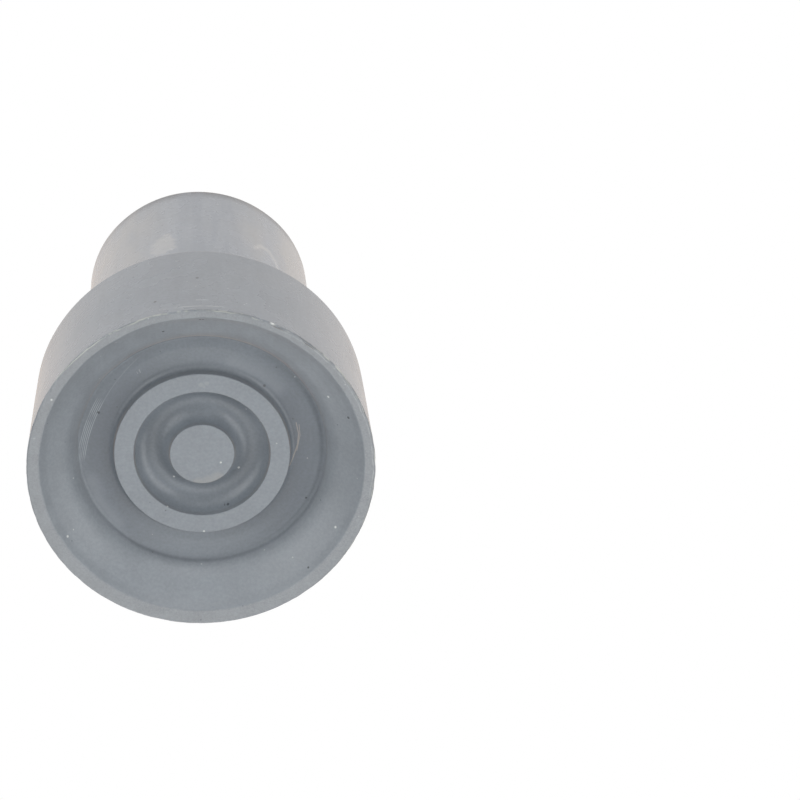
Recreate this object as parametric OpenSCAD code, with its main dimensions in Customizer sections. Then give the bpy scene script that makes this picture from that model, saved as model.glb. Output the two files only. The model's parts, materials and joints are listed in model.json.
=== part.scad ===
// Rubber tip for the foot of a walking cane, moulded in one piece.
// It stands on its tread at Z = 0, and the socket for the cane's shaft opens upwards, along +Z.
// Everything is one turned section about the Z axis. Sizes are in millimetres and angles in degrees.

/* [Tread] */
// Outer diameter of the lip that stands on the ground
base_d = 48; // [42:0.5:60]
// Width of the lip's flat land
lip_w = 1.6; // [0.8:0.05:2.2]
// Depth of the dish, from the lip to the tops of the ring and the boss
dish_depth = 4.1; // [3.5:0.05:6]
// Diameter of the crease round the dish's floor
dish_d = 34; // [33:0.1:34.8]
// Fall of the dish's floor into the crease
dish_fall = 0.45; // [0.1:0.05:0.6]
// Width of the band over which the floor falls
fall_w = 1.4; // [1:0.1:2]
// Height of the steep step above the crease
step_h = 1.6; // [1.2:0.1:1.9]
// Lean of the step away from the axis
step_lean = 21; // [15:1:27]
// Rounding of the step's upper edge
step_r = 4; // [1:0.5:5]

/* [Bowl] */
// Diameter of the bowl at the foot of its flank
flank_d = 37.3; // [37:0.1:38.4]
// Depth there, as a share of the depth at the top of the step
flank_share = 0.74; // [0.6:0.01:0.8]
// Diameter where the bowl steepens towards the lip
bowl_d = 40.6; // [39.8:0.1:42]
// Depth there, as a share of the depth at the top of the step
bowl_share = 0.45; // [0.35:0.01:0.5]
// Rounding of the bowl between its flanks
bowl_r = 6; // [2:0.5:8]

/* [Ring and boss] */
// Outer diameter of the raised ring
ring_d = 24.4; // [22:0.1:27]
// Width of the ring's flat top
ring_w = 2.75; // [1.5:0.05:4]
// Height of the ring above the floor of the dish
ring_h = 1.8; // [0.8:0.1:3]
// Diameter of the boss in the middle
boss_d = 9; // [6:0.1:12]
// Depth of the groove between the ring and the boss
groove_depth = 2.7; // [1.5:0.1:5]
// Rounding at the foot of the groove's walls
groove_r = 1.5; // [0.5:0.1:2]

/* [Drum] */
// Height of the thick drum round the tread
drum_h = 22.5; // [18:0.5:30]
// Diameter of the drum at its shoulder
shoulder_d = 47; // [41:0.5:58]
// Rounding of the shoulder's edge
shoulder_r = 0.4; // [0.3:0.1:3]
// Rise of the shoulder towards the collar
shoulder_rise = 0.8; // [0:0.1:2]

/* [Collar] */
// Height of the whole tip
tip_h = 64; // [56:0.5:76]
// Outer diameter of the collar at its mouth
collar_d = 33.6; // [30:0.2:38]
// Outer diameter of the collar at its root
root_d = 34.8; // [31:0.2:39]
// Rounding where the collar meets the shoulder
root_r = 2.5; // [1:0.1:5]
// Rounding of the collar's rim
rim_r = 0.8; // [0.2:0.1:1.5]

/* [Socket] */
// Bore of the socket, for the cane's shaft
bore_d = 22; // [19:0.5:25.5]
// Depth of the socket
socket_depth = 42; // [30:0.5:48]
// Lead-in at the mouth of the socket
lead_in = 1; // [0.3:0.1:1.5]
// Rounding round the floor of the socket
socket_r = 0.8; // [0.3:0.1:3]

/* [Moulding] */
// Draft of the ring, the boss and the groove between them
draft = 3; // [0:0.5:6]
// Rounding of the lip's edges
lip_r = 0.25; // [0.1:0.05:0.4]
// Rounding of the edges of the ring and the boss
crisp_r = 0.15; // [0.05:0.05:0.3]
// Rounding at the foot of the ring
foot_r = 0.9; // [0.2:0.1:1]
// Rounding where the dish's floor begins to fall
fall_r = 3; // [1:0.5:4]
// Rounding of the crease at the foot of the step
crease_r = 0.3; // [0.2:0.1:0.6]

/* [Hidden] */

$fn = 96;
arc_step = 7.5;
colour = [0.56, 0.59, 0.62];

// Heights above the ground
top_z = dish_depth;
floor_z = top_z + ring_h;
edge_z = floor_z + dish_fall;
step_z = edge_z - step_h;
groove_z = top_z + groove_depth;
socket_z = tip_h - socket_depth;

// Radii from the axis
lip_outer = base_d / 2;
lip_inner = lip_outer - lip_w;
ring_outer = ring_d / 2;
ring_inner = ring_outer - ring_w;
boss_outer = boss_d / 2;
dish_edge = dish_d / 2;
bore_r = bore_d / 2;

// Sideways run of a drafted wall of height h
function lean(h) = h * tan(draft);

// Corner b of an outline, between its neighbours a and c. Each is [radius, height, rounding],
// and the rounding gives way to the sides where they are too short for it.
function corner(a, b, c) =
    let (
        p = [b.x, b.y],
        to_a = [a.x, a.y] - p,
        to_c = [c.x, c.y] - p,
        u = to_a / norm(to_a),
        v = to_c / norm(to_c),
        half = acos(u * v) / 2,
        reach = min(b.z / tan(half), 0.45 * norm(to_a), 0.45 * norm(to_c)),
        r = reach * tan(half),
        centre = p + (u + v) / norm(u + v) * r / sin(half),
        from = p + u * reach - centre,
        turn = sign(u.x * v.y - u.y * v.x) * (2 * half - 180),
        steps = max(1, ceil(abs(turn) / arc_step))
    )
    b.z == 0 ? [p] : [
        for (i = [0 : steps])
            let (t = turn * i / steps)
            centre + [from.x * cos(t) - from.y * sin(t), from.x * sin(t) + from.y * cos(t)]
    ];

// Outline with each corner rounded by its own radius
function rounded(outline) =
    let (n = len(outline))
    [for (i = [0 : n - 1]) each corner(outline[(i + n - 1) % n], outline[i], outline[(i + 1) % n])];

// The underside, from the axis out to the lip: boss, groove, ring, floor, crease, step and bowl
tread = [
    [0, top_z, 0],
    [boss_outer, top_z, crisp_r],
    [boss_outer + lean(groove_depth), groove_z, groove_r],
    [ring_inner - lean(groove_depth), groove_z, groove_r],
    [ring_inner, top_z, crisp_r],
    [ring_outer, top_z, crisp_r],
    [ring_outer + lean(ring_h), floor_z, foot_r],
    [dish_edge - fall_w, floor_z, fall_r],
    [dish_edge, edge_z, crease_r],
    [dish_edge + step_h * tan(step_lean), step_z, step_r],
    [flank_d / 2, step_z * flank_share, bowl_r],
    [bowl_d / 2, step_z * bowl_share, bowl_r],
    [lip_inner, 0, lip_r],
    [lip_outer, 0, lip_r]
];

// The outside, from the shoulder up to the rim of the collar
outside = [
    [shoulder_d / 2, drum_h, shoulder_r],
    [root_d / 2, drum_h + shoulder_rise, root_r],
    [collar_d / 2, tip_h, rim_r]
];

// The socket, from its mouth down to its floor
socket = [
    [bore_r + lead_in, tip_h, 0],
    [bore_r, tip_h - lead_in, 0],
    [bore_r, socket_z, socket_r],
    [0, socket_z, 0]
];

module cane_tip() {
    color(colour)
        rotate_extrude()
            polygon(rounded(concat(tread, outside, socket)));
}

cane_tip();
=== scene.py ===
import json
import math

import bpy
from mathutils import Matrix, Vector, noise


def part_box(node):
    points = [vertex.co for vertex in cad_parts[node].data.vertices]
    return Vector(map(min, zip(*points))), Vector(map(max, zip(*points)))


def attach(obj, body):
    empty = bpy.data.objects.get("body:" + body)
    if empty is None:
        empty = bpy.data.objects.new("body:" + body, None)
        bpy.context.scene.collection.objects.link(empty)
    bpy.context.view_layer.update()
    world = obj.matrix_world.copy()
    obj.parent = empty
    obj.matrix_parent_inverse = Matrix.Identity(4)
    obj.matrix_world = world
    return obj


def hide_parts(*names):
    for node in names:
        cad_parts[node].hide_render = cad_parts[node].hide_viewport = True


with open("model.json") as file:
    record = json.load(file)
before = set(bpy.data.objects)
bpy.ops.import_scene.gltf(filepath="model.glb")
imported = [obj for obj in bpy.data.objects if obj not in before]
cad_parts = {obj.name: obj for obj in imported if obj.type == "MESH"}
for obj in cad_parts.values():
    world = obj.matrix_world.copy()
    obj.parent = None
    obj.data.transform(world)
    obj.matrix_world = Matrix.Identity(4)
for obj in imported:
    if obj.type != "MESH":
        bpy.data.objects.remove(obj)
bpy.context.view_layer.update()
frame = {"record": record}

# The tip: one compression moulding in grey rubber, pushed on to the end of the shaft. It has a
# dished tread with a lip, a ring and a boss, a thick drum, a shoulder, and a collar round a blind
# socket. Sizes of its section are in millimetres, from the axis outwards and from the ground up.
MM = 0.001
tip_low, tip_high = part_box("cane_tip")
tip_height = (tip_high.z - tip_low.z) / MM
lip_outer = (tip_high.x - tip_low.x) / 2 / MM
socket_mount = next(m for m in frame["record"]["mounts"] if m["name"] == "socket")
bore_radius = socket_mount["dims"]["r_mm"]

lip_width, lip_edge = 1.6, 0.25
dish_depth = 4.1
boss_radius = 4.5
ring_outer, ring_width, ring_height = 12.2, 2.75, 1.8
groove_depth, groove_wall = 2.7, 0.35
dish_edge, dish_fall, fall_width = 17.13, 0.15, 1.7
bowl = ((17.61, 4.75), (18.65, 3.52), (20.3, 2.14), (21.5, 1.05))
drum_height, shoulder_radius, shoulder_rise = 22.5, 23.5, 0.8
root_radius, collar_radius = 17.4, 16.8
socket_depth, lead_in = 42.0, 1.0
draft = math.tan(math.radians(3))

ring_inner = ring_outer - ring_width
lip_inner = lip_outer - lip_width
dish_floor = dish_depth + ring_height
crease = dish_floor + dish_fall
groove_floor = dish_depth + groove_depth
socket_floor = tip_height - socket_depth

# The groove is a nearly half round trough between short walls
groove_middle = (boss_radius + ring_inner) / 2
groove_half = (ring_inner - boss_radius) / 2 - groove_wall * draft
trough_steps, wall_steps, trough_power = 44, 3, 2 / 2.05
trough = []
for i in range(trough_steps + 1):
    t = math.pi * i / trough_steps
    across, down = (math.copysign(abs(v) ** trough_power, v) for v in (math.cos(t), math.sin(t)))
    finish = "groove" if wall_steps <= i < trough_steps - wall_steps else "wall"
    trough.append((groove_middle - groove_half * across,
                   dish_depth + groove_wall + (groove_depth - groove_wall) * down, 0, finish, 0.3))

# Each line is a corner of the section: its place, its rounding, and the finish of the side that
# follows it, with the longest step between rows of the mesh on that side.
section = [
    (0, dish_depth, 0, "land", 2.0),
    (boss_radius, dish_depth, 0.15, "wall", 0.25),
    *trough,
    (ring_inner, dish_depth, 0.15, "land", 0.9),
    (ring_outer, dish_depth, 0.15, "wall", 0.2),
    (ring_outer + ring_height * draft, dish_floor, 0.9, "floor", 0.25),
    (dish_edge - fall_width, dish_floor, 3.0, "floor", 0.2),
    (dish_edge, crease, 0.5, "bowl", 0.2),
    (*bowl[0], 4.0, "bowl", 0.25),
    (*bowl[1], 6.0, "bowl", 0.3),
    (*bowl[2], 8.0, "bowl", 0.3),
    (*bowl[3], 6.0, "bowl", 0.3),
    (lip_inner, 0, 0.35, "lip", 0.2),
    (lip_outer, 0, lip_edge, "drum", 1.5),
    (shoulder_radius, drum_height, 0.4, "drum", 1.3),
    (root_radius, drum_height + shoulder_rise, 2.5, "collar", 2.4),
    (collar_radius, tip_height, 0.8, "rim", 0.5),
    (bore_radius + lead_in, tip_height, 0.2, "socket", 0.5),
    (bore_radius, tip_height - lead_in, 0.2, "socket", 8.0),
    (bore_radius, socket_floor, 0.8, "socket", 2.5),
    (0, socket_floor, 0, "socket", 1.0),
]
FINISHES = ("wall", "groove", "floor", "bowl", "lip", "drum", "collar")


def corner(a, b, c, step=math.radians(10)):
    """Corner b of an outline as an arc of radius b[2], tangent to the sides towards a and c."""
    p = Vector(b[:2])
    to_a, to_c = Vector(a[:2]) - p, Vector(c[:2]) - p
    if b[2] == 0:
        return [p]
    u, v = to_a.normalized(), to_c.normalized()
    half = u.angle(v) / 2
    reach = min(b[2] / math.tan(half), 0.45 * to_a.length, 0.45 * to_c.length)
    centre = p + (u + v).normalized() * reach / math.cos(half)
    start = p + u * reach - centre
    turn = math.copysign(math.pi - 2 * half, -(u.x * v.y - u.y * v.x))
    steps = max(2, math.ceil(abs(turn) / step))
    return [centre + Matrix.Rotation(turn * i / steps, 2) @ start for i in range(steps + 1)]


# The rows of the mesh along the section, each with its finishes. A corner's arc turns from the
# finish of the side before it to that of the side after it, and a row close beside each arc keeps
# its shading off the sides.
beside = 0.05
rows = []
for i, point in enumerate(section):
    before, after = section[i - 1], section[(i + 1) % len(section)]
    arc = corner(before, point, after)
    if rows:
        start, end = rows[-1][0], arc[0]
        length = (end - start).length
        if length > 4 * beside:
            steps = max(1, math.ceil((length - 2 * beside) / before[4]))
            for k in range(steps + 1):
                t = beside + (length - 2 * beside) * k / steps
                rows.append((start.lerp(end, t / length), {before[3]: 1.0}))
    for k, p in enumerate(arc):
        t = k / (len(arc) - 1) if len(arc) > 1 else 1.0
        share = {before[3]: 1 - t}
        share[point[3]] = share.get(point[3], 0) + t
        rows.append((p, share))
rows = rows[1:-1]

tread_top = groove_floor + 0.5
off_centre = Vector((0.11, -0.51))


def follows_pin(r):
    """How far a point of the section follows the core pin, which sits a little off centre."""
    if r.y > tread_top:
        return 0
    return min(1, max(0, (lip_outer - lip_edge - r.x) / (lip_width - 2 * lip_edge)))


def between(a, b, v):
    """0 below a and 1 above b, with a smooth rise between them."""
    t = min(1, max(0, (v - a) / (b - a)))
    return t * t * (3 - 2 * t)


def uneven(r, a):
    """Small unevenness of the moulding, as a shift outwards in mm at angle a of a row."""
    ring = Vector((math.cos(a), math.sin(a), 0))
    edge = lip_outer - 0.3
    out = 0.0
    if r.y < tread_top and r.x < edge:
        # The crease wanders, most of all on one side
        near = 1 - between(0.3, 1.6, abs(r.x - dish_edge))
        side = 0.4 + between(0.5, 0.95, -math.cos(a - 0.25))
        out += 0.16 * near * side * noise.noise(ring * 4.5 + Vector((3, 1, 0)))
        # The lip's inner edge is trimmed by hand
        near = 1 - between(0.1, 0.7, abs(r.x - lip_inner))
        out += 0.07 * near * noise.noise(ring * 7 + Vector((0, 5, 2)))
    elif r.x >= edge and r.y < 1.0:
        # The lip's outer edge keeps torn flash, so it is never quite round
        out -= 0.045 * between(-0.1, 0.5, noise.noise(ring * 16) + 0.5 * noise.noise(ring * 41))
    elif r.y > socket_floor + 1 and r.x > bore_radius + 3:
        # The collar is slightly out of true
        p = Vector((math.cos(a) * 1.6, math.sin(a) * 1.6, r.y / 22))
        out -= 0.09 * between(-0.5, 0.6, noise.noise(p)) * between(24, 32, r.y)
    if r.x > shoulder_radius - 0.2 and 0.9 < r.y < drum_height:
        # So is the drum, though less
        p = Vector((math.cos(a) * 2.4, math.sin(a) * 2.4, r.y / 9))
        out -= 0.05 * between(-0.5, 0.6, noise.noise(p)) * between(0.9, 3, r.y)
    return out


# The section is turned about the axis. Each point of the mesh knows its finish, how much painted
# shade darkens the end of the collar there, and its place if the section were wound on a drum of
# one radius.
around = 320
wound_radius = 20
rim_pale, rim_full, rim_darkest_at = 60.6, 62.2, 4.95
verts = [(off_centre.x * MM, off_centre.y * MM, dish_depth * MM)]
shares, turned, rim_dark = [{"land": 1.0}], [(0, 0, 0)], [0.0]
along = 0.0
for j, (r, share) in enumerate(rows):
    along += (r - rows[j - 1][0]).length if j else r.x
    off = off_centre * follows_pin(r)
    for k in range(around):
        a = math.tau * k / around
        out = uneven(r, a)
        verts.append((((r.x + out) * math.cos(a) + off.x) * MM,
                      ((r.x + out) * math.sin(a) + off.y) * MM, r.y * MM))
        shares.append(share)
        darker_side = 0.12 + 0.88 * between(-0.25, 0.75, math.cos(a - rim_darkest_at))
        rim_dark.append(between(rim_pale, rim_full, r.y) * darker_side)
        turned.append((wound_radius * MM * math.cos(a), wound_radius * MM * math.sin(a),
                       along * MM))
verts.append((0, 0, socket_floor * MM))
shares.append({"socket": 1.0})
rim_dark.append(0.0)
turned.append((0, 0, along * MM))

last = len(verts) - 1
faces = [(0, 1 + (k + 1) % around, 1 + k) for k in range(around)]
for j in range(len(rows) - 1):
    near, far = 1 + j * around, 1 + (j + 1) * around
    for k in range(around):
        m = (k + 1) % around
        faces.append((near + k, near + m, far + m, far + k))
end_row = last - around
faces += [(end_row + k, end_row + (k + 1) % around, last) for k in range(around)]
tip_mesh = bpy.data.meshes.new("cane_tip_rubber")
tip_mesh.from_pydata(verts, [], faces)
tip_mesh.shade_smooth()
for name in FINISHES:
    layer = tip_mesh.attributes.new(name, "FLOAT", "POINT")
    layer.data.foreach_set("value", [share.get(name, 0.0) for share in shares])
layer = tip_mesh.attributes.new("rim_dark", "FLOAT", "POINT")
layer.data.foreach_set("value", rim_dark)
layer = tip_mesh.attributes.new("turned", "FLOAT_VECTOR", "POINT")
layer.data.foreach_set("vector", [c for v in turned for c in v])
tip_mesh.update()
tip = bpy.data.objects.new("cane_tip_rubber", tip_mesh)
bpy.context.scene.collection.objects.link(tip)


def linear(hex_colour):
    """An sRGB hex colour as linear RGBA."""
    out = []
    for i in (0, 2, 4):
        c = int(hex_colour[i:i + 2], 16) / 255
        out.append(c / 12.92 if c <= 0.04045 else ((c + 0.055) / 1.055) ** 2.4)
    return (*out, 1)


def add(tree, kind, inputs=(), output=0, **settings):
    """Adds a node and gives one of its outputs. An input is a value, or another node's output
    that is linked to it."""
    node = tree.nodes.new("ShaderNode" + kind)
    for name, value in settings.items():
        setattr(node, name, value)
    for key, value in dict(inputs).items():
        if isinstance(value, bpy.types.NodeSocket):
            tree.links.new(value, node.inputs[key])
        else:
            node.inputs[key].default_value = value
    return node.outputs[output]


# Settings that many nodes share. A mix of colours has its factor at input 0 and its two colours at
# inputs 6 and 7.
smooth_step = {"interpolation_type": "SMOOTHSTEP"}
of_colours = {"output": 2, "data_type": "RGBA"}

# Moulded grey rubber, a filled natural rubber. It is matt, a little bluish, and finely mottled by
# the filler at its surface. The recesses and the sides of the moulding shine a little more than
# its flat tops, the trimmed lip is paler, and a bloom of wax makes glancing views bright and warm.
rubber = bpy.data.materials.new("moulded_grey_rubber")
rubber.use_nodes = True
tree = rubber.node_tree
shader = tree.nodes["Principled BSDF"]
place = add(tree, "TexCoord", output="Object")
turned_at = add(tree, "Attribute", output="Vector", attribute_name="turned")
share_of = {name: add(tree, "Attribute", output="Fac", attribute_name=name)
            for name in (*FINISHES, "rim_dark")}


def product(*values):
    """What is left of a mark where several shares of it hold at once."""
    out = values[0]
    for value in values[1:]:
        out = add(tree, "Math", {0: out, 1: value}, operation="MULTIPLY")
    return out


def band(value, low, high, soft):
    """1 between low and high, and 0 beyond them by soft."""
    above = add(tree, "MapRange", {"Value": value, "From Min": low - soft, "From Max": low},
                **smooth_step)
    below = add(tree, "MapRange", {"Value": value, "From Min": high, "From Max": high + soft,
                                   "To Min": 1.0, "To Max": 0.0}, **smooth_step)
    return product(above, below)


def cells(size_mm, detail=2.0, stretch=(1, 1, 1), where=place, shift=0.0):
    """Noise with cells of about size_mm, longer along an axis whose stretch is below 1."""
    at = add(tree, "Mapping", {"Vector": where, "Scale": stretch, "Location": (shift, shift, 0)})
    return add(tree, "TexNoise", {"Vector": at, "Scale": 1 / (size_mm * MM), "Detail": detail},
               output="Fac")


# Where a point is: its cosine and sine round the axis, its radius and its height in mm
cos_a, sin_a = (add(tree, "Math", {0: part, 1: wound_radius * MM}, operation="DIVIDE")
                for part in add(tree, "SeparateXYZ", {0: turned_at}).node.outputs[:2])
at_x, at_y, at_z = add(tree, "SeparateXYZ", {0: place}).node.outputs
flat_place = add(tree, "CombineXYZ", {0: at_x, 1: at_y})
from_axis = add(tree, "VectorMath", {0: flat_place}, output="Value", operation="LENGTH")
radius, z_mm = (add(tree, "Math", {0: length, 1: MM}, operation="DIVIDE")
                for length in (from_axis, at_z))
sideways = add(tree, "Math", {0: cos_a}, operation="ABSOLUTE")

# Each finish has its own colour. The floor, the groove and the walls are painted darker than the
# tops: painted shade in the recesses.
colour = linear("878D93")
for name, hex_colour in (("floor", "7C838A"), ("groove", "7B8289"), ("wall", "7A8086"),
                         ("lip", "8F9397"), ("drum", "7B8188"), ("collar", "8E939A")):
    colour = add(tree, "Mix", {0: share_of[name], 6: colour, 7: linear(hex_colour)}, **of_colours)

# The dish's floor is painted darker towards its sides: painted shade
to_sides = add(tree, "MapRange", {"Value": sideways, "From Min": 0.15, "From Max": 0.95},
               **smooth_step)
inside = add(tree, "MapRange", {"Value": radius, "From Min": 17, "From Max": 15}, **smooth_step)
floor_side_shade = product(share_of["floor"], to_sides, inside)
colour = add(tree, "Mix", {0: floor_side_shade, 6: colour, 7: linear("6B727A")}, **of_colours)

# Painted shade darkens the crease at the foot of the step, more of it on one side, and the ring's
# foot
on_tread = add(tree, "MapRange", {"Value": z_mm, "From Min": 9, "From Max": 8}, **smooth_step)
recessed = add(tree, "MapRange", {"Value": z_mm, "From Min": 4.9, "From Max": 5.6}, **smooth_step)
diagonal = 0.707
to_corner = product(add(tree, "Math", {0: cos_a, 1: sin_a}, operation="ADD"), diagonal)
heavier = add(tree, "MapRange", {"Value": to_corner, "From Min": -0.7, "From Max": 0.5,
                                 "To Min": 0.25, "To Max": 1.0}, **smooth_step)
crease_shade = product(band(radius, 16.9, 17.2, 0.75), recessed, on_tread, heavier)
colour = add(tree, "Mix", {0: product(crease_shade, 0.55), 6: colour, 7: linear("676D74")}, **of_colours)
low_wall = add(tree, "MapRange", {"Value": z_mm, "From Min": 5.2, "From Max": 5.7}, **smooth_step)
near_side = add(tree, "MapRange", {"Value": sin_a, "From Min": -0.2, "From Max": 0.6},
                **smooth_step)
ring_foot_shade = product(band(radius, 12.8, 13.3, 0.8), low_wall, near_side)
colour = add(tree, "Mix", {0: product(ring_foot_shade, 0.4), 6: colour, 7: linear("6D747B")}, **of_colours)

# The end of the collar is painted darker, most of all on one side: painted shade
colour = add(tree, "Mix", {0: share_of["rim_dark"], 6: colour, 7: linear("686B70")}, **of_colours)

# Filler mottles the rubber in patches of 4 mm and of 1.3 mm, and in grains of 0.42 mm and 0.22 mm.
# The real grains are finer, and are drawn as coarse as they need to show. The cut lip shows most.
mottle, blotch, fine, grain = cells(4.0, 3.0), cells(1.3), cells(0.42), cells(0.22, 1.0)
mottle_swing, blotch_swing, grain_swing = (
    add(tree, "Math", {0: pattern, 1: 0.5}, operation="SUBTRACT")
    for pattern in (mottle, blotch, grain))
broad = add(tree, "MapRange", {"Value": mottle, "From Min": 0.3, "From Max": 0.7,
                               "To Min": 0.96, "To Max": 1.04}, **smooth_step)
spotted = add(tree, "MapRange", {"Value": fine, "From Min": 0.25, "From Max": 0.75,
                                 "To Min": 0.94, "To Max": 1.06}, **smooth_step)
blotch_depth, grain_depth = (
    add(tree, "Math", {0: share_of["lip"], 1: on_lip, 2: elsewhere}, operation="MULTIPLY_ADD")
    for on_lip, elsewhere in ((0.16, 0.06), (0.35, 0.04)))
blotched = add(tree, "Math", {0: blotch_swing, 1: blotch_depth, 2: 1.0}, operation="MULTIPLY_ADD")
level = add(tree, "Math", {0: grain_swing, 1: grain_depth, 2: product(broad, spotted, blotched)},
            operation="MULTIPLY_ADD")
# The bowl keeps the fine straight marks of the mould's polishing, 0.5 mm apart, on its far side
straight = add(tree, "Math", {0: cells(0.5, 1.0, (1, 0.06, 0.2)), 1: 0.5}, operation="SUBTRACT")
far_side = add(tree, "MapRange", {"Value": sin_a, "From Min": -0.35, "From Max": -0.75},
               **smooth_step)
polishing = product(share_of["bowl"], far_side, straight, 0.15)
level = add(tree, "Math", {0: level, 1: polishing}, operation="ADD")
# The drum and the collar have faint streaks along the axis, 1.6 mm wide
outside = add(tree, "Math", {0: share_of["drum"], 1: share_of["collar"]}, operation="ADD")
streak = cells(1.6, 3.0, (1, 1, 0.1), turned_at)
streak_swing = add(tree, "Math", {0: streak, 1: 0.5}, operation="SUBTRACT")
level = add(tree, "Math", {0: level, 1: product(outside, streak_swing, 0.22)}, operation="ADD")
grey = add(tree, "CombineColor", {0: level, 1: level, 2: level})
colour = add(tree, "Mix", {0: 1.0, 6: colour, 7: grey}, **of_colours, blend_type="MULTIPLY")

# Painted sheen makes the collar lighter and warmer towards its sides, in patches;
# a cool stain darkens the middle of its far side
patch = cells(7.0, 3.0, (1, 1, 0.45), turned_at, 0.013)
patches = add(tree, "MapRange", {"Value": patch, "From Min": 0.34, "From Max": 0.68},
              **smooth_step)
flanks = add(tree, "MapRange", {"Value": sideways, "From Min": 0.1, "From Max": 0.7},
             **smooth_step)
flank_sheen = product(share_of["collar"], patches, flanks)
colour = add(tree, "Mix", {0: product(flank_sheen, 0.5), 6: colour, 7: linear("A09C97")}, **of_colours)
back_part = add(tree, "MapRange", {"Value": sin_a, "From Min": -0.5, "From Max": -0.9},
                **smooth_step)
streaked = add(tree, "MapRange", {"Value": streak, "From Min": 0.4, "From Max": 0.62},
               **smooth_step)
cool = product(share_of["collar"], band(cos_a, -0.12, 0.32, 0.1), back_part, streaked)
colour = add(tree, "Mix", {0: product(cool, 0.45), 6: colour, 7: linear("7C828B")}, **of_colours)

# Torn flash stands round the lip's outer edge as a pale broken thread, most of it on one side
at_ground = add(tree, "MapRange", {"Value": z_mm, "From Min": 0.5, "From Max": 0.2},
                **smooth_step)
flash_side = add(tree, "Math", {0: product(cos_a, 0.6), 1: product(sin_a, 0.8)},
                 operation="SUBTRACT")
flash_side = add(tree, "MapRange", {"Value": flash_side, "From Min": -0.3, "From Max": 0.25},
                 **smooth_step)
bend = add(tree, "Math", {0: cells(2.6, 2.0, (1, 1, 0.1), turned_at), 1: 0.5},
           operation="SUBTRACT")
wander = add(tree, "Math", {0: radius, 1: product(bend, 0.5)}, operation="ADD")
torn = add(tree, "MapRange", {"Value": cells(0.55, 3.0, (1, 1, 0.2), turned_at),
                              "From Min": 0.4, "From Max": 0.62}, **smooth_step)
heap = add(tree, "MapRange", {"Value": cells(5.0, 1.0, (1, 1, 0.2), turned_at, 0.031),
                              "From Min": 0.46, "From Max": 0.6}, **smooth_step)
thread = add(tree, "Math", {0: product(torn, 0.8), 1: heap}, operation="MAXIMUM")
flash = product(band(wander, 23.86, 23.93, 0.07), at_ground, flash_side, thread)
# Painted shade darkens gaps under the flash, where it has lifted
at_edge = add(tree, "MapRange", {"Value": radius, "From Min": 23.6, "From Max": 23.8},
              **smooth_step)
lifted = add(tree, "MapRange", {"Value": cells(1.7, 2.0, (1, 1, 0.2), turned_at, 0.02),
                                "From Min": 0.35, "From Max": 0.55}, **smooth_step)
deeper = add(tree, "MapRange", {"Value": cos_a, "From Min": -0.3, "From Max": 0.5,
                                "To Min": 0.3, "To Max": 1.0}, **smooth_step)
shade_under_flash = product(band(z_mm, 0.1, 0.3, 0.1), at_edge, flash_side, lifted, deeper)
# The lip is scuffed pale beside its outer edge, along a quarter of it
right_part = add(tree, "MapRange", {"Value": cos_a, "From Min": 0.35, "From Max": 0.6},
                 **smooth_step)
far_part = add(tree, "MapRange", {"Value": sin_a, "From Min": 0.3, "From Max": 0.0},
               **smooth_step)
thin = add(tree, "Math", {0: torn, 1: 0.7, 2: 0.3}, operation="MULTIPLY_ADD")
scuffed = product(band(wander, 23.55, 23.62, 0.08), at_ground, right_part, far_part, thin)
# The mould's parting line shows on the drum just above the lip, at the far side
behind = add(tree, "MapRange", {"Value": sin_a, "From Min": 0.0, "From Max": -0.9},
             **smooth_step)
broken = add(tree, "MapRange", {"Value": cells(2.5, 2.0, (1, 1, 0.3), turned_at),
                                "From Min": 0.35, "From Max": 0.5}, **smooth_step)
on_drum = add(tree, "MapRange", {"Value": radius, "From Min": 23.0, "From Max": 23.5},
              **smooth_step)
seam = product(band(z_mm, 1.5, 1.58, 0.09), band(cos_a, -0.24, 0.12, 0.05), behind, broken,
               on_drum)
for mark, amount, hex_colour in ((flash, 0.6, "C6C8BE"), (shade_under_flash, 0.6, "565A5F"),
                                 (scuffed, 0.5, "BFC2C2"), (seam, 0.55, "B4B8B8")):
    colour = add(tree, "Mix", {0: product(mark, amount), 6: colour, 7: linear(hex_colour)},
                 **of_colours)

# Turning scratches in the dish's floor: pale arcs 0.24 mm apart, struck from off the axis
arc_centre, arc_radius, arc_gap = (9.51 * MM, 4.29 * MM, 0), 25.9, 0.24
struck = add(tree, "VectorMath", {0: flat_place, 1: arc_centre}, output="Value",
             operation="DISTANCE")
struck = add(tree, "Math", {0: struck, 1: MM}, operation="DIVIDE")
beyond = add(tree, "Math", {0: struck, 1: arc_radius}, operation="SUBTRACT")
wave = add(tree, "Math", {0: product(beyond, math.tau / arc_gap)}, operation="SINE")
crests = add(tree, "MapRange", {"Value": wave, "From Min": 0.1, "From Max": 0.9}, **smooth_step)
in_dish = add(tree, "MapRange", {"Value": radius, "From Min": 17.6, "From Max": 17.2},
              **smooth_step)
left_part = add(tree, "MapRange", {"Value": cos_a, "From Min": 0.0, "From Max": -0.5},
                **smooth_step)
unworn = add(tree, "MapRange", {"Value": cells(2.2, 1.0), "From Min": 0.2, "From Max": 0.5},
             **smooth_step)
arcs = product(crests, on_tread, band(struck, arc_radius, 27.0, 0.1), in_dish, left_part,
               band(sin_a, -0.42, 0.02, 0.1), unworn)
colour = add(tree, "Mix", {0: product(arcs, 0.75), 6: colour, 7: linear("B4BCC2")}, **of_colours)
left_part = add(tree, "MapRange", {"Value": cos_a, "From Min": 0.0, "From Max": -0.4},
                **smooth_step)
long_arc = product(on_tread, band(struck, 25.93, 26.0, 0.08), left_part,
                   band(sin_a, -0.8, -0.1, 0.1))
colour = add(tree, "Mix", {0: product(long_arc, 0.35), 6: colour, 7: linear("98A0A7")},
             **of_colours)


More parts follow.
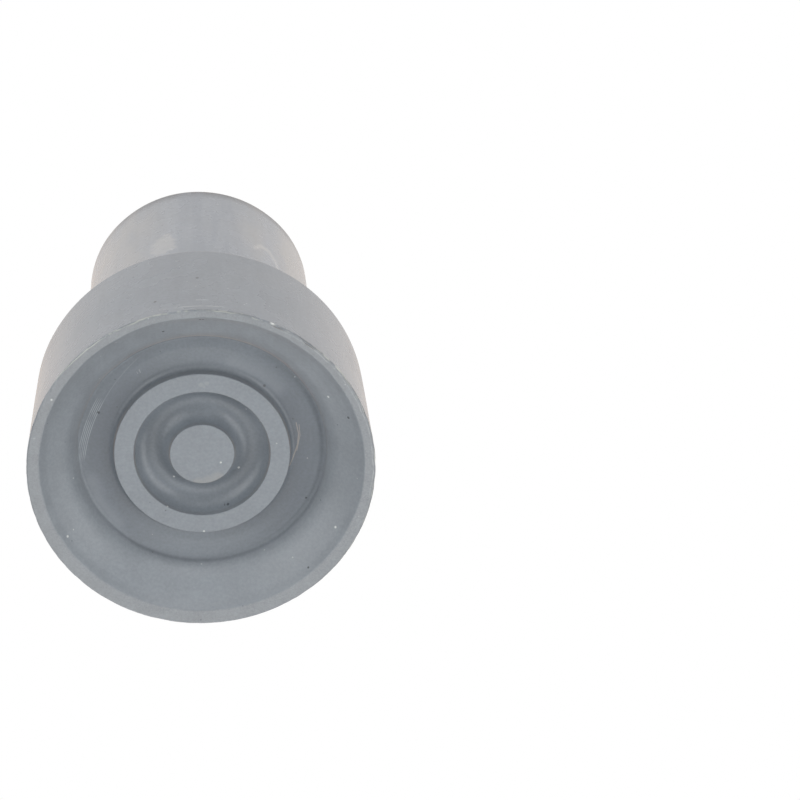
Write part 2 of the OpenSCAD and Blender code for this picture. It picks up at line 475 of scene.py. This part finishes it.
def marks(under, hex_colour, amount, spots):
    """Small round spots, each at a place in mm with its radius."""
    total = 0.0
    for x, y, z, r in spots:
        off = add(tree, "VectorMath", {0: place, 1: (x * MM, y * MM, z * MM)}, output="Value",
                  operation="DISTANCE")
        spot = add(tree, "MapRange", {"Value": off, "From Min": r * MM, "From Max": 0.4 * r * MM},
                   **smooth_step)
        total = add(tree, "Math", {0: spot, 1: total}, operation="MAXIMUM")
    return add(tree, "Mix", {0: product(total, amount), 6: under, 7: linear(hex_colour)},
               **of_colours)


def lines(under, hex_colour, amount, strokes, squeeze=1.0, core=0.35):
    """Straight strokes, each between two places in mm with its half width, of which core is
    evenly coloured. They are longer up the axis where squeeze is below 1, and with squeeze 0 they
    are struck on the tread, whatever its height there."""
    total = 0.0
    at = add(tree, "VectorMath", {0: place, 1: (1, 1, squeeze)}, operation="MULTIPLY")
    for start, end, half in strokes:
        start, end = (Vector((p[0], p[1], p[2] * squeeze)) * MM for p in (start, end))
        run = end - start
        rel = add(tree, "VectorMath", {0: at, 1: start}, operation="SUBTRACT")
        dot = add(tree, "VectorMath", {0: rel, 1: run / run.length_squared}, output="Value",
                  operation="DOT_PRODUCT")
        share = add(tree, "Math", {0: dot, 1: 0.0}, operation="ADD", use_clamp=True)
        nearest = add(tree, "VectorMath", {0: run, "Scale": share}, operation="SCALE")
        off = add(tree, "VectorMath", {0: rel, 1: nearest}, output="Value", operation="DISTANCE")
        stroke = add(tree, "MapRange", {"Value": off, "From Min": half * MM,
                                        "From Max": core * half * MM}, **smooth_step)
        total = add(tree, "Math", {0: stroke, 1: total}, operation="MAXIMUM")
    if squeeze == 0:
        total = product(total, on_tread)
    return add(tree, "Mix", {0: product(total, amount), 6: under, 7: linear(hex_colour)},
               **of_colours)


# Pits where air was trapped in the mould
colour = marks(colour, "23262C", 0.85, (
    (-4.91, -19.92, 2.35, 0.26), (0.11, -22.33, 0.68, 0.24), (0.49, -22.32, 0.68, 0.22),
    (8.83, -10.03, 5.82, 0.28), (20.22, -7.05, 1.37, 0.28), (21.34, -10.07, 18.15, 0.30),
    (14.59, 7.43, 6.10, 0.25), (-14.07, -6.31, 5.90, 0.27), (14.71, 15.70, 0.68, 0.22),
    (-0.21, -23.73, 12.07, 0.32), (-5.98, -23.12, 5.20, 0.30), (3.66, 8.06, 5.54, 0.3)))
# Grit pressed into the rubber
colour = marks(colour, "DADCDA", 0.8, (
    (17.51, -9.66, 2.68, 0.25), (18.52, 9.80, 1.41, 0.24), (2.68, 0.79, 4.10, 0.2),
    (5.19, 2.85, 6.64, 0.24), (-3.88, 4.08, 6.64, 0.2), (-20.16, -11.06, 0.0, 0.2),
    (-18.69, 10.23, 0.88, 0.24), (9.9, -22.0, 0.1, 0.5), (6.42, -23.2, 0.0, 0.2),
    (0.21, 11.45, 4.10, 0.2), (-4.82, 7.53, 4.27, 0.2)))
# Paler smudges on the tops of the ring and the boss
colour = marks(colour, "9DA1A4", 0.45, (
    (0.1, -11.1, 4.1, 0.5), (0.9, -11.3, 4.1, 0.45), (0.5, -10.8, 4.1, 0.3),
    (0.06, 11.9, 4.1, 0.35)))
colour = marks(colour, "9D9B98", 0.4, (
    (1.0, 3.9, 4.1, 1.5), (-0.4, 4.1, 4.1, 1.4), (2.2, 3.2, 4.1, 1.3)))
# Dust, as fine pale and dark grains about 2 mm apart, in a share of the cells alone
dust_gap = 2.2
for seed, hex_colour, amount in ((0.0, "C9CCCC", 0.6), (0.37, "3C4047", 0.55)):
    at = add(tree, "Mapping", {"Vector": place, "Location": (seed, seed, seed)})
    dust = add(tree, "TexVoronoi", {"Vector": at, "Scale": 1 / (dust_gap * MM)}).node.outputs
    speck = add(tree, "MapRange", {"Value": dust["Distance"], "From Min": 0.07,
                                   "From Max": 0.03}, **smooth_step)
    chance = add(tree, "SeparateXYZ", {0: dust["Color"]})
    chosen = add(tree, "MapRange", {"Value": chance, "From Min": 0.55, "From Max": 0.75},
                 **smooth_step)
    colour = add(tree, "Mix", {0: product(speck, chosen, amount), 6: colour,
                               7: linear(hex_colour)}, **of_colours)
# One pale hair line beside the ring
colour = lines(colour, "A9A29A", 0.75, (
    ((13.2, -4.3, 0), (13.55, -2.6, 0), 0.1), ((13.55, -2.6, 0), (13.4, -0.9, 0), 0.12),
    ((13.4, -0.9, 0), (12.8, 0.9, 0), 0.12), ((12.8, 0.9, 0), (12.3, 2.1, 0), 0.1),
    ((13.6, -4.0, 0), (13.75, -2.4, 0), 0.07), ((13.75, -2.4, 0), (13.3, 0.0, 0), 0.07)), 0)
# Painted soft highlights, in broad streaks round the dish's floor
colour = lines(colour, "8F969D", 0.4, (
    ((4.6, -13.5, 0), (8.2, -11.9, 0), 2.0), ((8.2, -11.9, 0), (10.6, -9.7, 0), 2.0),
    ((-15.2, 3.9, 0), (-14.2, 7.4, 0), 1.6), ((-14.2, 7.4, 0), (-11.8, 10.8, 0), 1.6)), 0, 0.0)
# Pale ticks in the dish and a scuff on the drum, and dark nicks in the groove
colour = lines(colour, "A9AFB4", 0.6, (
    ((-8.35, -12.7, 5.9), (-8.2, -12.3, 5.9), 0.09),
    ((-8.7, -12.4, 5.9), (-8.55, -12.1, 5.9), 0.06),
    ((-0.35, -23.9, 3.83), (1.2, -23.88, 3.83), 0.16)))
colour = lines(colour, "4A4F56", 0.8, (
    ((3.5, 7.4, 6.0), (3.75, 9.0, 4.6), 0.13), ((3.1, 7.6, 6.0), (3.2, 8.6, 5.2), 0.1)))
# A painted highlight curves over the collar, drawn out along the axis
colour = lines(colour, "BDBBB8", 0.42, (
    ((8.4, -14.84, 44.9), (9.46, -14.15, 47.06), 0.45),
    ((9.46, -14.15, 47.06), (10.66, -13.28, 46.77), 0.5),
    ((10.66, -13.28, 46.77), (11.47, -12.63, 44.41), 0.5),
    ((11.47, -12.63, 44.41), (12.0, -12.2, 40.5), 0.45)), 0.4, 0.1)
# A pale rubbed patch on the collar, also drawn out along the axis
rub_squeeze = 0.42
rub_centre = (-5.1 * MM, -16.3 * MM, 42.5 * rub_squeeze * MM)
rubbed = add(tree, "VectorMath", {0: place, 1: (1, 1, rub_squeeze)}, operation="MULTIPLY")
rubbed = add(tree, "VectorMath", {0: rubbed, 1: rub_centre}, output="Value",
             operation="DISTANCE")
rubbed = add(tree, "Math", {0: rubbed, 1: product(blotch_swing, 2.6 * MM)}, operation="ADD")
rubbed = add(tree, "MapRange", {"Value": rubbed, "From Min": 2.2 * MM, "From Max": 1.4 * MM},
             **smooth_step)
rubbed = product(share_of["collar"], rubbed, 0.45)
colour = add(tree, "Mix", {0: rubbed, 6: colour, 7: linear("B2B1AF")}, **of_colours)
tree.links.new(colour, shader.inputs["Base Color"])

# The recesses and the sides are smoother than the tops, and the crease under its painted shade is
# dull
roughness = 0.42
for name, change in (("groove", -0.04), ("wall", -0.04), ("floor", -0.05), ("drum", -0.15),
                     ("collar", -0.15)):
    roughness = add(tree, "Math", {0: share_of[name], 1: change, 2: roughness},
                    operation="MULTIPLY_ADD")
roughness = add(tree, "Math", {0: crease_shade, 1: 0.3, 2: roughness}, operation="MULTIPLY_ADD")
roughness = add(tree, "Math", {0: roughness, 1: product(mottle_swing, 0.12)}, operation="ADD")
tree.links.new(roughness, shader.inputs["Roughness"])
shader.inputs["IOR"].default_value = 1.52
# The bloom of wax
shader.inputs["Sheen Weight"].default_value = 0.26
shader.inputs["Sheen Roughness"].default_value = 0.3
shader.inputs["Sheen Tint"].default_value = linear("FFD0A4")
# The grains of filler stand out by up to 0.02 mm on the tread, and hardly at all on the sides
grain_height = 0.02
depth = add(tree, "Math", {0: outside, 1: -0.92, 2: 1.0}, operation="MULTIPLY_ADD")
bump = add(tree, "Bump", {"Height": product(fine, depth), "Strength": 0.6,
                          "Distance": grain_height * MM})
tree.links.new(bump, shader.inputs["Normal"])
tip_mesh.materials.append(rubber)
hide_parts("cane_tip")
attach(tip, "root")

# The table that the tip stands on: a plain board painted white, just under the lip. Seen from
# below it is clear, so that the camera under it sees the tread, and it holds no light back there.
floor_gap = 0.1
floor_size = 4.0
floor_mesh = bpy.data.meshes.new("floor")
h = floor_size / 2
floor_mesh.from_pydata([(x, y, -floor_gap * MM) for x, y in ((-h, -h), (h, -h), (h, h), (-h, h))],
                       [], [(0, 1, 2, 3)])
floor = bpy.data.objects.new("floor", floor_mesh)
bpy.context.scene.collection.objects.link(floor)
for ray in ("diffuse", "glossy", "transmission", "shadow"):
    setattr(floor, "visible_" + ray, False)
# White emulsion, rolled on: it is flat and matt, with no colour of its own
paint = bpy.data.materials.new("white_table")
paint.use_nodes = True
tree = paint.node_tree
shader = tree.nodes["Principled BSDF"]
shader.inputs["Base Color"].default_value = linear("FAFAFA")
shader.inputs["Roughness"].default_value = 0.9
from_below = add(tree, "NewGeometry", output="Backfacing")
clear = add(tree, "BsdfTransparent")
one_sided = add(tree, "MixShader", {0: from_below, 1: shader.outputs[0], 2: clear})
tree.links.new(one_sided, tree.nodes["Material Output"].inputs["Surface"])
floor_mesh.materials.append(paint)

# The studio is a white room. It lights the tip from above alone, while the camera and shiny
# things see it white on all sides.
world = bpy.data.worlds.new("white_room")
bpy.context.scene.world = world
world.use_nodes = True
tree = world.node_tree
ray = add(tree, "LightPath").node.outputs
seen = add(tree, "Math", {0: ray["Is Camera Ray"], 1: ray["Is Glossy Ray"]}, operation="MAXIMUM")
seen = add(tree, "Math", {0: seen, 1: ray["Is Transmission Ray"]}, operation="MAXIMUM")
way = add(tree, "TexCoord", output="Generated")
way = add(tree, "SeparateXYZ", {0: way}, output="Z")
height = add(tree, "MapRange", {"Value": way, "From Min": -0.2, "From Max": 0.05})
white = add(tree, "Math", {0: height, 1: seen}, operation="MAXIMUM")
room = add(tree, "CombineColor", {0: white, 1: white, 2: white})
tree.links.new(room, tree.nodes["Background"].inputs["Color"])
tree.nodes["Background"].inputs["Strength"].default_value = 1.0

# Seven soft boxes of white cloth stand round the tread, below the table. Each line has the way
# to a box, its width and length in metres, and its watts.
box_distance = 0.8
for name, way, width, length, watts in (
        ("right_box", (0.814, 0.137, -0.564), 0.92, 0.34, 3.11),
        ("left_box", (-0.748, -0.399, -0.530), 0.92, 0.37, 2.89),
        ("far_box", (0.155, -0.926, -0.344), 0.65, 0.37, 2.02),
        ("near_box", (-0.307, 0.905, -0.295), 0.78, 0.31, 2.15),
        ("front_box", (-0.063, 0.477, -0.877), 0.46, 0.37, 1.03),
        ("key_left", (-0.528, -0.224, -0.819), 0.22, 0.22, 0.63),
        ("key_right", (0.541, -0.230, -0.809), 0.22, 0.22, 0.76)):
    lamp = bpy.data.lights.new(name, "AREA")
    lamp.shape = "RECTANGLE"
    lamp.size, lamp.size_y = width, length
    lamp.energy = watts
    box = bpy.data.objects.new(name, lamp)
    box.location = Vector(way).normalized() * box_distance
    box.rotation_euler = Vector(way).to_track_quat("Z", "Y").to_euler()
    box.visible_camera = False
    bpy.context.scene.collection.objects.link(box)

# The camera stands under the table and looks up at the tread, at the distance and with the lens
# that the tread's circles and the outlines of drum and collar ask for.
camera_distance = 0.43
focal_px, picture_px, sensor_mm = 3120.2, 800, 36
tilt, yaw, pitch, roll = (math.radians(a) for a in (26.045, -3.658, 1.237, 0.949))
lens = bpy.data.cameras.new("camera")
lens.sensor_width = sensor_mm
lens.lens = focal_px / picture_px * sensor_mm
lens.clip_start, lens.clip_end = 0.01, 20
camera = bpy.data.objects.new("camera", lens)
back = Vector((0, -math.sin(tilt), -math.cos(tilt)))
spot = back * camera_distance
up = Vector((0, -math.cos(tilt), math.sin(tilt)))
right = Vector((1, 0, 0))
turn = Matrix.Rotation(yaw, 3, up)
back, right = turn @ back, turn @ right
turn = Matrix.Rotation(pitch, 3, right)
back, up = turn @ back, turn @ up
turn = Matrix.Rotation(roll, 3, -back)
right, up = turn @ right, turn @ up
camera.matrix_world = Matrix((
    (right.x, up.x, back.x, spot.x),
    (right.y, up.y, back.y, spot.y),
    (right.z, up.z, back.z, spot.z),
    (0, 0, 0, 1)))
bpy.context.scene.collection.objects.link(camera)
bpy.context.scene.camera = camera
bpy.context.scene.view_settings.view_transform = "Standard"
